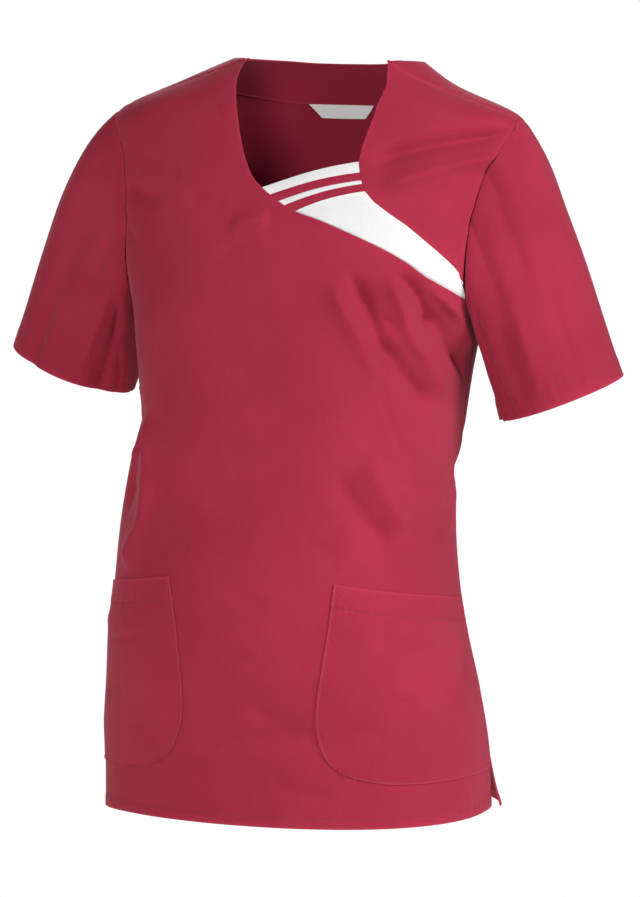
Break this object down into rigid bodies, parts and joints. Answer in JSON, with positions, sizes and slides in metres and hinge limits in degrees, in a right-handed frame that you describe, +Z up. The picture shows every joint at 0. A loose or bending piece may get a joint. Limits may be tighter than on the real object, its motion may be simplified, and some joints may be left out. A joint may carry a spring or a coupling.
{
  "type": "scrub tunic",
  "caption": "Short-sleeved wrap-front scrub tunic in its worn form, with a striped insert at the V neck, patch pockets and side slits.",
  "frame": {"origin": "midway between the two neck points, the neck ends of the shoulder seams, where the wearer's shoulders carry the tunic", "axes": "+Z up along the body towards the neck, +X towards the wearer's left sleeve, +Y towards the back, so the front faces -Y"},
  "size_m": [0.6007, 0.2774, 0.7023],
  "materials": {
    "red_cloth": "plain woven uniform cloth, matt, deep raspberry red",
    "white_cloth": "plain woven uniform cloth, matt white",
    "label_ribbon": "smooth white label ribbon, bare"
  },
  "bodies": {
    "root": {"front_main": "red_cloth", "front_upper_left": "red_cloth", "insert_panel": "white_cloth", "insert_red_lower": "red_cloth", "insert_white_middle": "white_cloth", "insert_red_upper": "red_cloth", "insert_white_top": "white_cloth", "back": "red_cloth", "neck_facing": "red_cloth", "neck_label": "label_ribbon", "sleeve_left": "red_cloth", "sleeve_right": "red_cloth", "pocket_left": "red_cloth", "pocket_right": "red_cloth"}
  },
  "joints": []
}
